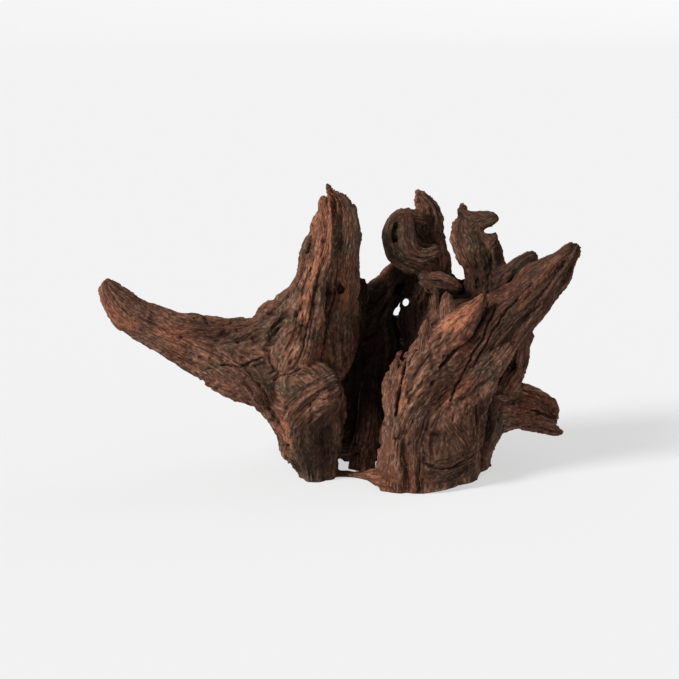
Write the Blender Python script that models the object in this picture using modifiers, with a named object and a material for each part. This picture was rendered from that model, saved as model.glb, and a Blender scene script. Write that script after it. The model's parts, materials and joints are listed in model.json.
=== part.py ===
"""Aquarium driftwood: one weathered root stump with its limbs, sawn into separate solids at the main forks.

Every limb is laid out the way it shows from the front, a little above the horizon: a distance across,
a rise above the middle of the picture, and a depth behind the middle of the piece. Sight lines from the
eye carry those three into the world frame, +Z up, +X to the right and +Y away from the eye.
"""

import math

import bmesh
import bpy
import numpy as np
from mathutils import Vector

MM = 0.001

# The eye that the layout is drawn from: how far away it is, how far it looks down, and the height
# at which its middle sight line crosses the upright axis through the origin.
EYE_DISTANCE = 1.07
EYE_TILT = math.radians(12)
SIGHT_HEIGHT = 0.0886

# How far the layout is moved so that the origin is under the middle of the finished piece, in mm.
SHIFT_ACROSS = 0.35
SHIFT_DEPTH = -7.8

# A limb's stations, in mm: across, rise, depth, half width as seen, half thickness towards the eye.
LONG_ARM = [
    (-156, 40, -24, 3, 3),
    (-154.5, 35.5, -24, 6.8, 6),
    (-150, 28, -23, 10, 9),
    (-142.5, 19.8, -22, 11.8, 11),
    (-128, 11.2, -20, 12.8, 13),
    (-112, 3.8, -19, 15.3, 15),
    (-96, -1.5, -18, 19.5, 17),
    (-80, -7.5, -17, 23.3, 20),
    (-64, -12, -16, 27.5, 23),
    (-48, -15.5, -15, 31, 26),
    (-32, -19, -14, 32, 28),
]
ARM_SHOULDER = [
    (-22, 50, -12, 5, 8),
    (-28, 31, -14, 7.5, 12),
    (-37, 19.5, -15, 11.5, 16),
    (-47, 6.5, -16, 14.5, 20),
    (-46, -18, -16, 24, 24),
]
TALL_SNAG = [
    (-7.5, 104.5, -10, 1.5, 2),
    (-5.8, 99, -10, 2.8, 4),
    (-2, 93, -9, 7, 7),
    (-1.3, 87, -8, 12.2, 10),
    (-2, 79, -8, 15, 12),
    (-3.6, 67, -9, 17.2, 14),
    (-6.5, 56, -10, 19.3, 16),
    (-8.5, 43, -10, 20, 18),
    (-9.5, 30, -10, 19.5, 20),
    (-14, 13, -10, 24, 22),
    (-17, -7, -10, 27, 24),
    (-20, -27, -12, 29, 25),
]
SNAG_RIDGE = [
    (-7.8, 102, -13, 2, 3),
    (-9.5, 92, -16, 4.2, 5),
    (-9, 80, -19, 5, 6),
    (-9, 68, -22, 6, 7),
    (-12, 54, -26, 8, 8),
    (-18, 38, -31, 9, 9),
    (-22, 20, -35, 11, 11),
    (-27, 0, -35, 15, 12),
    (-36, -18, -32, 20, 14),
]
SNAG_RIM = [
    (9, 90, -8, 2.5, 4),
    (9.5, 78, -11, 4, 5),
    (9, 64, -12, 4.5, 6),
    (8, 50, -13, 5.5, 6),
    (5, 34, -14, 7, 7),
    (-3, 20, -18, 7, 8),
]
LEFT_FOOT = [
    (-27, -7, -13, 27, 25),
    (-25, -30, -14, 27, 27),
    (-22, -50, -15, 25.5, 25),
    (-20, -63, -16, 22.5, 22),
    (-17.5, -75, -16.5, 19.2, 19),
    (-15.3, -85, -17, 14.8, 16),
    (-14.5, -102, -18, 12.5, 15.5),
]
KNEE = [
    (-36, -14, -32, 9, 9),
    (-24, -20, -36, 12, 10),
    (-14, -27, -38, 12.5, 11),
    (-9, -37, -36, 11.5, 11),
    (-14, -48, -31, 10.5, 11),
    (-21, -60, -28, 9.5, 9),
    (-25, -76, -24, 8, 9),
]
BACK_WALL = [
    (13, -104, 24, 17, 11),
    (16, -67, 26, 22, 11),
    (19, -40, 28, 24, 12),
    (20, -13, 29, 24, 12),
    (20, 8, 30, 22, 11),
    (21, 22, 30, 15, 9),
    (32, 36, 31, 9, 8),
    (46, 51, 31, 6, 6),
]
INNER_ROOT = [
    (27, -8, 20, 9, 8),
    (22, -34, 12, 9, 8),
    (20, -58, 6, 8.5, 8),
    (16, -80, 2, 9, 8),
    (14, -101, -4, 10, 9),
]
FOOT_BAR = [
    (-12, -91, -18, 5, 6),
    (2, -90, -16, 3, 5),
    (14, -90.5, -17, 4, 7),
    (28, -92, -24, 8, 10),
]
SNAG_SHOULDER = [
    (2, -15, 4, 11, 15),
    (4, 5, 8, 12, 14),
    (8, 24, 11, 9.5, 12),
    (12, 38, 12, 6.5, 8),
    (12, 45, 12, 3.5, 4),
]
WALL_BRIDGE = [
    (12, 6, 24, 15, 12),
    (26, 24, 28, 12, 11),
    (37, 40, 30, 11, 10),
    (49, 51, 30, 9, 8),
]
CURL_STEM = [
    (54, 0, 18, 15, 13),
    (55, 25, 22, 14, 12),
    (59, 40, 24, 14, 11),
    (62, 52, 26, 12, 9),
    (61.5, 63, 28, 9.8, 7),
    (60, 72, 29, 9.8, 6),
    (59.5, 82, 28, 9, 6),
    (58, 88, 26, 7, 6),
    (55.5, 94, 24, 5.6, 5),
    (54.2, 97.5, 23, 4.3, 4),
    (54, 99.8, 22, 3, 3),
]
CURL_BACK = [
    (52, 44, 28, 9, 7),
    (47, 60, 31, 10, 6),
    (47, 74, 31, 9, 5),
    (51, 84, 28, 5, 5),
]
CURL_LOOP = [
    (62, 47, 20, 7, 8),
    (50, 50.5, 14, 8, 8),
    (39.5, 57.5, 11, 7.5, 8),
    (33.8, 68, 10, 5.5, 8),
    (35.3, 77, 11, 5, 8),
    (42, 82.8, 15, 4.8, 7),
    (49, 82.5, 19, 4.5, 6),
    (57, 81, 23, 4, 5),
]
CURL_STRAP = [
    (43, 83, 22, 5, 4),
    (44.5, 75, 20, 6, 4),
    (46.5, 67, 18, 7, 4),
    (52, 60, 16, 7, 5),
    (60, 59, 15, 5.5, 5),
    (67.5, 61, 16, 4.2, 4),
]
CURL_LEAF = [
    (66, 68, 26, 4, 4),
    (68.5, 57, 27, 5, 4),
    (70.5, 47, 27, 6, 5),
    (76, 37, 26, 6.5, 5),
    (86, 34, 24, 7.5, 6),
]
CURL_TAIL = [
    (53, 40, 12, 5, 6),
    (62, 41, 8, 7, 6),
    (72, 38, 5, 7, 6),
    (79, 35, 4, 5, 5),
    (83, 33.5, 4, 2.5, 3),
]
TAIL_SPIKE = [
    (60, 41, 8, 6, 6),
    (62.5, 32, 5, 5.5, 5),
    (64, 25, 4, 4, 4),
    (65, 16, 5, 2, 2.5),
]
FLUTED_LIMB = [
    (102, -5, 10, 22, 14),
    (99, 24, 15, 18, 12),
    (97, 40, 19, 15.5, 10),
    (95.5, 50, 21, 14, 9),
    (92.3, 60, 22, 15.2, 9),
    (89, 68, 23, 14.2, 9),
    (85, 75.5, 24, 13.6, 8),
    (83, 81, 24, 6, 6),
    (81.5, 86.5, 24, 3.4, 4),
    (80.8, 89.5, 24, 2.5, 3),
]
FLUTED_BEAK = [
    (85, 78.5, 24, 7, 6),
    (92, 80, 22, 5.6, 6),
    (98, 80.6, 20, 4.8, 5),
    (103, 81.3, 18, 3.8, 4),
    (106, 82, 17, 2, 2),
]
FLUTED_SPUR = [
    (94, 59, 22, 7, 6),
    (100.5, 63.5, 20, 5, 5),
    (104, 67, 19, 3.6, 4),
    (105.8, 71, 18, 1.6, 2),
]
BACK_SPUR = [
    (104, 20, 16, 14, 9),
    (111, 39, 14, 10, 8),
    (117, 46.5, 12, 8, 6),
    (123.5, 52.5, 10, 6.2, 5),
    (128.5, 55, 10, 5.2, 5),
    (132, 54, 10, 3.5, 4),
]
LEANING_SLAB = [
    (58, -112, -31, 36, 26),
    (60, -87, -31, 34.5, 26),
    (62, -67, -30, 33, 25),
    (66, -47, -28, 32, 22),
    (73, -27, -26, 32, 19),
    (83, -10, -25, 29, 16),
    (95.5, 3, -24, 25, 14),
    (110, 14.5, -23, 20, 12),
    (124, 24.5, -22, 17.5, 11),
    (135.8, 39.5, -21, 14, 10),
    (145.5, 48.6, -20, 10.8, 8),
    (152, 55.5, -19, 7, 6.5),
    (156, 61.5, -19, 4.8, 5),
    (157.5, 65, -19, 3, 3),
]
FRONT_LAYER = [
    (44, -70, -44, 14, 12),
    (46, -45, -45, 16, 11),
    (49, -25, -44, 18, 10),
    (59, -8, -42, 18, 9),
    (71, 4, -40, 15, 8),
    (82, 13, -38, 10, 6),
    (91, 22.5, -37, 6, 5),
    (97.5, 32, -36, 2.5, 3),
]
LAYER_CREST = [
    (46, -22, -42, 8, 8),
    (50, -8, -42, 8, 7),
    (55, 3, -41, 8, 6),
    (61, 12, -40, 6, 5),
    (68, 19, -38, 3, 3),
]
OUTER_STRIP = [
    (41.5, -6, -38, 3, 4),
    (38, -15, -40, 5, 6),
    (35.5, -27, -41, 5.5, 7),
    (34.5, -40, -42, 5.5, 8),
    (35, -53, -43, 6.5, 9),
    (36.5, -67, -44, 8, 10),
    (37, -82, -45, 10, 12),
    (38, -104, -46, 12, 14),
]
RAISED_SPIKE = [
    (76, -2, -30, 9, 6),
    (73.5, 12, -29, 8, 6),
    (72.5, 22, -28, 6, 5),
    (72.5, 32, -27, 2.5, 3),
]
TOE_SPUR = [
    (16, -89, -38, 2, 2.5),
    (21.5, -90, -42, 3.8, 5),
    (29, -91.5, -47, 7, 9),
    (42, -94, -50, 10, 11),
]
BULGED_KNOT = [
    (72, -60, -40, 12, 14),
    (79, -70, -40, 13, 14),
    (80, -82, -31, 12, 10),
]
SIDE_STUB = [
    (90, -44, 10, 20, 14),
    (110, -44, 16, 18, 13),
    (121, -44.5, 18, 15.8, 12),
    (133, -47.5, 19, 13, 11),
    (140, -50.5, 19, 10.8, 10),
    (144.5, -53.5, 19, 8.5, 8),
]
STUB_LIP = [
    (118, -55, 15, 6, 7),
    (134, -58.5, 14, 5.5, 6),
    (148.5, -62, 14, 3, 4),
]
STRUT = [
    (126, 12, -6, 5, 6),
    (121, -3, 2, 6, 7),
    (117.5, -18, 9, 7.5, 8),
    (111, -32, 14, 9, 10),
]
RIGHT_ROOT = [
    (93, -40, 12, 15.5, 14),
    (96, -57, 6, 13.5, 15),
    (93, -70, 0, 12, 16),
    (87, -83, -6, 13.5, 17),
    (81, -104, -10, 15.5, 18),
]
CORE = [
    (-16, -66, 8, 18, 17),
    (16, -50, 34, 22, 13),
    (52, -56, 16, 25, 24),
    (80, -58, 4, 24, 24),
]
CROWN = [
    (56, -40, 16, 22, 24),
    (63, -12, 12, 20, 22),
    (76, 8, 10, 21, 16),
    (98, 14, 10, 18, 12),
]
CROWN_TOP = [
    (52, 22, 26, 12, 10),
    (68, 27, 20, 11, 9),
    (84, 28, 20, 12, 10),
    (102, 26, 17, 12, 10),
]
# Roots on the far side run away from the eye, so their half widths are measured up the picture.
REAR_ROOT = [
    (34, -50, 28, 22, 20),
    (28, -62, 50, 17, 17),
    (22, -76, 66, 13, 13),
    (16, -84, 78, 9, 10),
]
REAR_RIGHT_ROOT = [
    (72, -50, 26, 22, 20),
    (84, -60, 46, 16, 15),
    (92, -72, 60, 12, 12),
    (98, -78, 70, 8, 9),
]
REAR_SNAG = [
    (52, -24, 26, 18, 16),
    (50, -6, 44, 13, 12),
    (45, 4, 56, 9, 9),
    (40, 12, 63, 5, 6),
    (37, 16, 67, 2, 3),
]
REAR_BOSS = [
    (-30, -25, 6, 24, 18),
    (-34, -30, 18, 18, 14),
    (-40, -34, 27, 10, 8),
]
LIMBS = [
    LONG_ARM, ARM_SHOULDER, TALL_SNAG, SNAG_RIDGE, SNAG_RIM, LEFT_FOOT, KNEE, BACK_WALL, INNER_ROOT,
    FOOT_BAR, SNAG_SHOULDER, WALL_BRIDGE, CURL_STEM, CURL_BACK, CURL_LOOP, CURL_STRAP, CURL_LEAF,
    CURL_TAIL, TAIL_SPIKE, FLUTED_LIMB, FLUTED_BEAK, FLUTED_SPUR, BACK_SPUR, LEANING_SLAB, FRONT_LAYER,
    LAYER_CREST, OUTER_STRIP, RAISED_SPIKE, TOE_SPUR, BULGED_KNOT, SIDE_STUB, STUB_LIP, STRUT, RIGHT_ROOT, CORE,
    CROWN, CROWN_TOP, REAR_ROOT, REAR_RIGHT_ROOT, REAR_SNAG, REAR_BOSS,
]

# Holes cut along the sight lines: across, rise, depths from and to, half sizes and tilt in the picture.
# The first four go right through. The others are pits: a knot hole, a slot, a cleft and a rot hole.
HOLES = [
    (38.2, 19.5, -8, 70, 1.8, 3.6, -30),
    (44.2, 25.2, -8, 70, 2.4, 3.1, -20),
    (2.3, -82.8, -60, 90, 2.0, 4.8, 38),
    (101.2, 73.4, -60, 90, 5.0, 2.2, 10),
    (0.8, 33.5, -60, -12, 3.0, 3.4, 0),
    (119, 45, -60, -24, 10, 1.9, 38),
    (137, -49.5, -60, 14, 11, 1.3, -17),
    (115.5, -17, -60, 10, 2.2, 3.0, 20),
]
# Saw cuts at the main forks: across, rise and depth of the middle, the turn of the cut in the picture,
# then its half length in the picture and its half depth.
SAW_CUTS = [
    (-71, -11, -16, 71, 34, 40),
    (-7, 47.5, -8, 0, 30, 40),
    (58, 30, 20, 0, 27.5, 32),
    (33, 42, 35, 90, 14, 15),
    (82, 38.5, 22, 100, 12.5, 28),
    (101.5, 36, 18, 0, 20.5, 26),
    (101, 9, -27, -43, 32, 19.5),
    (118.5, -10, 6, -20, 14, 16),
    (117, -46, 17, 62, 24, 26),
]
KERF = 0.3

# A point near the far end of each solid, by which it is told from the others: across, rise, depth.
SOLIDS = {
    "long_arm": (-155, 36, -24),
    "tall_snag": (-7, 102, -10),
    "curled_limb": (55, 98, 23),
    "fluted_limb": (81, 88, 24),
    "leaning_slab": (157, 64, -19),
    "side_stub": (145, -53, 19),
    "root_stump": (60, -90, -50),
}

# Round every limb run lobes, each with its share of the half width. They turn by up to this many
# radians over a metre. The ends of a limb are drawn in over a share of its thickness there.
LOBES = ((3, 0.06), (5, 0.05), (9, 0.045))
MOST_TWIST = 9
END_REACH = 0.9
END_DRAW = 0.8

# How far apart the rings of a limb stand and how many corners a ring has, then the grid on which the
# limbs melt together, how the skin is relaxed afterwards, and how many triangles it may have in all.
RING_GAP = 3.0
RING_SIDES = 28
VOXEL = 2.2
RELAX_SHARE = 0.5
RELAX_STEPS = 4
WANTED_TRIANGLES = 9000

# Helper solids: the block under the floor, and how many sides a round hole has.
FLOOR_BLOCK = (600, 600, 100)
HOLE_SIDES = 12

# Points nearer than this are one point. The base is drawn onto the floor from up to this high.
SAME_POINT = 0.001
BASE_SNAP = 0.05

WOOD_COLOUR = (0.12, 0.062, 0.042, 1)
WOOD_ROUGHNESS = 0.85


def sight_axes():
    """The eye's right, up and look directions."""
    right = Vector((1, 0, 0))
    look = Vector((0, math.cos(EYE_TILT), -math.sin(EYE_TILT)))
    return right, right.cross(look), look


def sight_point(across, rise, depth):
    """The world point at that depth which shows at (across, rise), all in mm."""
    right, up, look = sight_axes()
    target = Vector((0, 0, SIGHT_HEIGHT))
    eye = target - look * EYE_DISTANCE
    seen = target + right * across * MM + up * rise * MM
    reach = (depth * MM - eye.y) / (seen.y - eye.y)
    return eye + (seen - eye) * reach + Vector((SHIFT_ACROSS, SHIFT_DEPTH, 0)) * MM


def smooth_run(stations, gap=RING_GAP):
    """The stations in metres with smooth steps between them, one row about every gap of its length."""
    knots = np.array([[*sight_point(a, r, d), w * MM, t * MM] for a, r, d, w, t in stations])
    spans = np.linalg.norm(np.diff(knots[:, :3], axis=0), axis=1)
    at = np.concatenate([[0.0], np.cumsum(spans)])
    slopes = np.gradient(knots, at, axis=0)
    count = max(6, round(at[-1] / (gap * MM)))
    where = np.linspace(0, at[-1], count)
    first = np.clip(np.searchsorted(at, where, side="right") - 1, 0, len(spans) - 1)
    span = spans[first][:, None]
    u = (where - at[first])[:, None] / span
    run = (
        knots[first] * (2 * u**3 - 3 * u**2 + 1)
        + slopes[first] * span * (u**3 - 2 * u**2 + u)
        + knots[first + 1] * (3 * u**2 - 2 * u**3)
        + slopes[first + 1] * span * (u**3 - u**2)
    )
    return where, run


def limb_frame(run):
    """Unit tangent, width and thickness directions along a limb. Width lies in the picture."""
    tangent = np.gradient(run[:, :3], axis=0)
    tangent /= np.linalg.norm(tangent, axis=1)[:, None]
    look = np.array(sight_axes()[2])
    width = np.cross(tangent, look)
    width /= np.linalg.norm(width, axis=1)[:, None]
    return tangent, width, np.cross(width, tangent)


def limb_flutes(seed, turn, along):
    """How far a limb's wall stands out at an angle and a distance along it: long rounded flutes."""
    rng = np.random.default_rng(seed)
    out = 1.0
    for lobes, size in LOBES:
        phase, twist = rng.uniform(0, 2 * math.pi), rng.uniform(-MOST_TWIST, MOST_TWIST)
        out += size * math.cos(lobes * turn + phase + twist * along)
    return out


def face_outwards(shape):
    """Turn the faces of a closed shape outwards."""
    shape.normal_update()
    bmesh.ops.recalc_face_normals(shape, faces=shape.faces)
    if shape.calc_volume(signed=True) < 0:
        bmesh.ops.reverse_faces(shape, faces=shape.faces)


def round_ends(along, run):
    """Draw a thick limb in over the last stretch at both ends, so that no end is a flat disc."""
    for gone in (along, along[-1] - along):
        end = run[np.argmin(gone), 3:5].min()
        reach = max(END_REACH * end, SAME_POINT * MM)
        share = np.clip(gone / reach, 0, 1)
        run[:, 3:5] *= np.sqrt(1 - END_DRAW * (1 - share) ** 2)[:, None]


def add_limb(bm, stations, seed):
    """A closed fluted tube through a limb's stations, made from a grid that is wrapped round."""
    along, run = smooth_run(stations)
    round_ends(along, run)
    _, width, thick = limb_frame(run)
    tube = bmesh.new()
    last = len(run) - 1
    bmesh.ops.create_grid(tube, x_segments=last, y_segments=RING_SIDES, size=1)
    for vert in tube.verts:
        row = round((vert.co.x + 1) / 2 * last)
        turn = math.pi * (vert.co.y + 1)
        out = limb_flutes(seed, turn, along[row])
        side = math.cos(turn) * run[row, 3] * out
        front = math.sin(turn) * run[row, 4] * out
        vert.co = run[row, :3] + width[row] * side + thick[row] * front
    bmesh.ops.remove_doubles(tube, verts=tube.verts, dist=SAME_POINT * MM)
    bmesh.ops.holes_fill(tube, edges=[e for e in tube.edges if e.is_boundary])
    face_outwards(tube)
    piece = bpy.data.meshes.new("limb")
    tube.to_mesh(piece)
    tube.free()
    bm.from_mesh(piece)
    bpy.data.meshes.remove(piece)


def block(name, shape):
    """A closed helper solid that a boolean takes away. It isn't part of the object."""
    face_outwards(shape)
    mesh = bpy.data.meshes.new(name)
    shape.to_mesh(mesh)
    shape.free()
    helper = bpy.data.objects.new(name, mesh)
    helper.hide_render = True
    helper.display_type = "WIRE"
    return helper


def below_floor():
    """All that is under the flat base that the piece rests on."""
    shape = bmesh.new()
    bmesh.ops.create_cube(shape, size=1)
    bmesh.ops.scale(shape, vec=Vector(FLOOR_BLOCK) * MM, verts=shape.verts)
    bmesh.ops.translate(shape, vec=(0, 0, -FLOOR_BLOCK[2] / 2 * MM), verts=shape.verts)
    return block("floor_cut", shape)


def turned_axes(turn):
    """The picture's right and up directions turned by some degrees, with the look direction."""
    right, up, look = sight_axes()
    cos, sin = math.cos(math.radians(turn)), math.sin(math.radians(turn))
    return right * cos + up * sin, up * cos - right * sin, look


def hole_cutter(name, hole):
    across, rise, near, far, wide, tall, tilt = hole
    start, end = sight_point(across, rise, near), sight_point(across, rise, far)
    side, upward, _ = turned_axes(tilt)
    axis = (end - start).normalized()
    shape = bmesh.new()
    bmesh.ops.create_cone(
        shape, cap_ends=True, segments=HOLE_SIDES, radius1=1, radius2=1, depth=(end - start).length
    )
    for vert in shape.verts:
        x, y, z = vert.co
        vert.co = (start + end) / 2 + side * x * wide * MM + upward * y * tall * MM + axis * z
    return block(name, shape)


def saw_cutter(name, cut):
    across, rise, depth, turn, half_length, half_depth = cut
    middle = sight_point(across, rise, depth)
    side, upward, look = turned_axes(turn)
    shape = bmesh.new()
    bmesh.ops.create_cube(shape, size=2)
    for vert in shape.verts:
        x, y, z = vert.co
        vert.co = middle + (side * x * half_length + upward * y * KERF / 2 + look * z * half_depth) * MM
    return block(name, shape)


def baked_mesh(thing):
    """The object's mesh with its modifiers worked in."""
    graph = bpy.context.evaluated_depsgraph_get()
    return bpy.data.meshes.new_from_object(thing.evaluated_get(graph), depsgraph=graph)


def loose_parts(mesh):
    """The vertex numbers of every separate part of a mesh."""
    bm = bmesh.new()
    bm.from_mesh(mesh)
    left = set(bm.verts)
    parts = []
    while left:
        front = [left.pop()]
        part = []
        while front:
            vert = front.pop()
            part.append(vert.index)
            for edge in vert.link_edges:
                other = edge.other_vert(vert)
                if other in left:
                    left.remove(other)
                    front.append(other)
        parts.append(part)
    bm.free()
    return parts


def part_mesh(name, mesh, keep):
    """The part of the mesh with these vertices, in triangles."""
    bm = bmesh.new()
    bm.from_mesh(mesh)
    keep = set(keep)
    bmesh.ops.delete(bm, geom=[v for v in bm.verts if v.index not in keep], context="VERTS")
    bmesh.ops.triangulate(bm, faces=bm.faces)
    face_outwards(bm)
    out = bpy.data.meshes.new(name)
    bm.to_mesh(out)
    bm.free()
    return out


def fused_wood():
    """All limbs melted into one skin, smoothed where they meet, without the specks inside it."""
    bm = bmesh.new()
    for seed, stations in enumerate(LIMBS):
        add_limb(bm, stations, seed)
    mesh = bpy.data.meshes.new("limbs")
    bm.to_mesh(mesh)
    bm.free()
    wood = bpy.data.objects.new("limbs", mesh)
    bpy.context.scene.collection.objects.link(wood)
    fuse = wood.modifiers.new("Fuse", "REMESH")
    fuse.mode = "VOXEL"
    fuse.voxel_size = VOXEL * MM
    relax = wood.modifiers.new("Relax", "SMOOTH")
    relax.factor = RELAX_SHARE
    relax.iterations = RELAX_STEPS
    skin = baked_mesh(wood)
    wood.modifiers.clear()
    wood.data = part_mesh("skin", skin, max(loose_parts(skin), key=len))
    return wood


def wood_material():
    material = bpy.data.materials.new("driftwood")
    material.use_nodes = True
    shader = material.node_tree.nodes["Principled BSDF"]
    shader.inputs["Base Color"].default_value = WOOD_COLOUR
    shader.inputs["Roughness"].default_value = WOOD_ROUGHNESS
    return material


def thinned(thing, ratio):
    """The object's mesh with only this share of its triangles, the flat base kept flat."""
    thin = thing.modifiers.new("Thin", "DECIMATE")
    thin.ratio = ratio
    mesh = baked_mesh(thing)
    thing.modifiers.clear()
    for vert in mesh.vertices:
        if vert.co.z < BASE_SNAP * MM:
            vert.co.z = 0
    return mesh


def main():
    for old in list(bpy.data.objects):
        bpy.data.objects.remove(old)
    scene = bpy.context.scene.collection
    driftwood = bpy.data.collections.new("aquarium_driftwood")
    scene.children.link(driftwood)
    helpers = bpy.data.collections.new("cutters")
    scene.children.link(helpers)

    wood = fused_wood()
    cutters = [below_floor()]
    cutters += [hole_cutter(f"hole_{i}", hole) for i, hole in enumerate(HOLES)]
    cutters += [saw_cutter(f"saw_{i}", cut) for i, cut in enumerate(SAW_CUTS)]
    for cutter in cutters:
        helpers.objects.link(cutter)
        cut = wood.modifiers.new(cutter.name, "BOOLEAN")
        cut.operation = "DIFFERENCE"
        cut.solver = "EXACT"
        cut.object = cutter
    sawn = baked_mesh(wood)
    bpy.data.objects.remove(wood)

    material = wood_material()
    parts = loose_parts(sawn)
    ratio = WANTED_TRIANGLES / sum(len(face.vertices) - 2 for face in sawn.polygons)
    for name, spot in SOLIDS.items():
        seed = sight_point(*spot)
        nearest = min(parts, key=lambda part: min((sawn.vertices[i].co - seed).length for i in part))
        thing = bpy.data.objects.new(name, part_mesh(name, sawn, nearest))
        driftwood.objects.link(thing)
        thing.data = thinned(thing, ratio)
        thing.data.name = name
        thing.data.materials.append(material)
        parts.remove(nearest)
    if parts:
        raise ValueError(f"{len(parts)} loose parts have no name: {[len(part) for part in parts]}")


main()
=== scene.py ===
import itertools
import json
import math

import bmesh
import bpy
import numpy as np
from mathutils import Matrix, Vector
from mathutils.bvhtree import BVHTree

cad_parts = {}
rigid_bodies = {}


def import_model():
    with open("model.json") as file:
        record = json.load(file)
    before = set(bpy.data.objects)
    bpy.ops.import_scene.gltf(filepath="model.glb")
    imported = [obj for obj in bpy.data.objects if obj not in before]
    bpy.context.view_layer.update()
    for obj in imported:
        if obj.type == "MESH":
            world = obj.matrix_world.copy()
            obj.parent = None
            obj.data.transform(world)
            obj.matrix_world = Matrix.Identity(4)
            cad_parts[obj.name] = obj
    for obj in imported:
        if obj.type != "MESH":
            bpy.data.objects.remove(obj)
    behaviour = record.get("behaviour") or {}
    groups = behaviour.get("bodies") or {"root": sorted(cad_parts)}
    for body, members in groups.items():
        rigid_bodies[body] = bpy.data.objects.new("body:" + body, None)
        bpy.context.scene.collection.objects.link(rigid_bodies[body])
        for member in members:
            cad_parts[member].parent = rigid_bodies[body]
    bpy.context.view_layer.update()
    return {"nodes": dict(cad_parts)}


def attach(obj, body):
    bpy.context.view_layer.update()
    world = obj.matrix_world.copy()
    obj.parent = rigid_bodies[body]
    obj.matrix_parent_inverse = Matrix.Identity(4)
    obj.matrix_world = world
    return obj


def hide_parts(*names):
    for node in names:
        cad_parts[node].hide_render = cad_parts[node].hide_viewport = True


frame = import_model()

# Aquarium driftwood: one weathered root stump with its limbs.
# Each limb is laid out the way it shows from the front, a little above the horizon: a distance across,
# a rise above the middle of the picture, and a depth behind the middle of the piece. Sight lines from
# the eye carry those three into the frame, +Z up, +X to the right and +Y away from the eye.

MM = 0.001

# The eye that the layout is drawn from: how far away it is, how far it looks down, and the height
# at which its middle sight line crosses the upright axis through the origin.
EYE_DISTANCE = 1.07
EYE_TILT = math.radians(12)
SIGHT_HEIGHT = 0.0886

# How far the layout is moved so that the origin is under the middle of the piece, in mm.
SHIFT_ACROSS = 0.35
SHIFT_DEPTH = -7.8

# A limb's stations, in mm: across, rise, depth, half width as seen, half thickness towards the eye.
LONG_ARM = [
    (-156, 40, -24, 3, 3),
    (-154.2, 35.6, -24, 6, 6),
    (-149.5, 28.4, -23, 9.2, 9),
    (-142.2, 20.2, -22, 11.2, 11),
    (-128, 11.2, -20, 12.8, 13),
    (-112, 3.8, -19, 15.3, 15),
    (-96, -1.5, -18, 19.5, 17),
    (-80, -7.2, -17, 22.7, 20),
    (-64, -11.6, -16, 26.8, 23),
    (-48, -15.5, -15, 31, 26),
    (-32, -19, -14, 32, 28),
]
ARM_SHOULDER = [
    (-22, 50, -12, 5, 8),
    (-28, 31, -14, 7.5, 12),
    (-37, 19.5, -15, 11.5, 16),
    (-47, 6.5, -16, 14.5, 20),
    (-46, -18, -16, 24, 24),
]
TALL_SNAG = [
    (-7.5, 104.5, -10, 1.5, 2),
    (-5.8, 99, -10, 2.8, 4),
    (-2, 93, -9, 7, 7),
    (-1.3, 87, -8, 12.2, 10),
    (-2, 79, -8, 15, 12),
    (-3.6, 67, -9, 17.2, 14),
    (-6.9, 57, -10, 20.2, 16),
    (-8.5, 43, -10, 20, 18),
    (-9.5, 30, -10, 19.5, 20),
    (-14, 13, -10, 24, 22),
    (-17, -7, -10, 27, 24),
    (-20, -27, -12, 29, 25),
]
SNAG_RIDGE = [
    (-8.8, 95.5, -13, 1.5, 3),
    (-10, 90, -16, 4, 5),
    (-9, 80, -19, 5, 6),
    (-9, 68, -22, 6, 7),
    (-12, 54, -26, 8, 8),
    (-18, 38, -31, 9, 9),
    (-22, 20, -35, 11, 11),
    (-27, 0, -35, 15, 12),
    (-36, -18, -32, 20, 14),
]
SNAG_RIM = [
    (9, 90, -8, 2.5, 4),
    (9.5, 78, -11, 4, 5),
    (9, 64, -12, 4.5, 6),
    (8, 50, -13, 5.5, 6),
    (5, 34, -14, 7, 7),
    (-3, 20, -18, 7, 8),
]
LEFT_FOOT = [
    (-27, -7, -13, 27, 25),
    (-25, -30, -14, 27, 27),
    (-22, -50, -15, 25.5, 25),
    (-20, -63, -16, 22.5, 22),
    (-16.8, -75, -16.5, 18.4, 19),
    (-14.9, -85, -17, 14, 16),
    (-14.5, -102, -18, 12.5, 15.5),
]
KNEE = [
    (-36, -14, -32, 9, 9),
    (-24, -20, -36, 12, 10),
    (-14, -27, -38, 12.5, 11),
    (-9, -37, -36, 11.5, 11),
    (-14, -48, -31, 10.5, 11),
    (-21, -60, -28, 9.5, 9),
    (-25, -76, -24, 8, 9),
]
BACK_WALL = [
    (13, -104, 24, 17, 11),
    (16, -67, 26, 22, 11),
    (19, -40, 28, 24, 12),
    (20, -13, 29, 24, 12),
    (20, 8, 30, 22, 11),
    (21, 22, 30, 15, 9),
    (32, 36, 31, 9, 8),
    (46, 51, 31, 6, 6),
]
INNER_ROOT = [
    (27, -8, 20, 9, 8),
    (22, -34, 12, 9, 8),
    (20, -58, 6, 8.5, 8),
    (16, -80, 2, 9, 8),
    (14, -101, -4, 10, 9),
]
FOOT_BAR = [
    (-12, -91, -18, 5, 6),
    (2, -90, -16, 3, 5),
    (14, -90.5, -17, 4, 7),
    (28, -92, -24, 8, 10),
]
SNAG_SHOULDER = [
    (2, -15, 4, 11, 15),
    (4, 5, 8, 12, 14),
    (8, 24, 11, 9.5, 12),
    (12, 38, 12, 6.5, 8),
    (12, 45, 12, 3.5, 4),
]
WALL_BRIDGE = [
    (12, 6, 24, 15, 12),
    (26, 24, 28, 12, 11),
    (37, 40, 30, 11, 10),
    (49, 51, 30, 9, 8),
]
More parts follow.
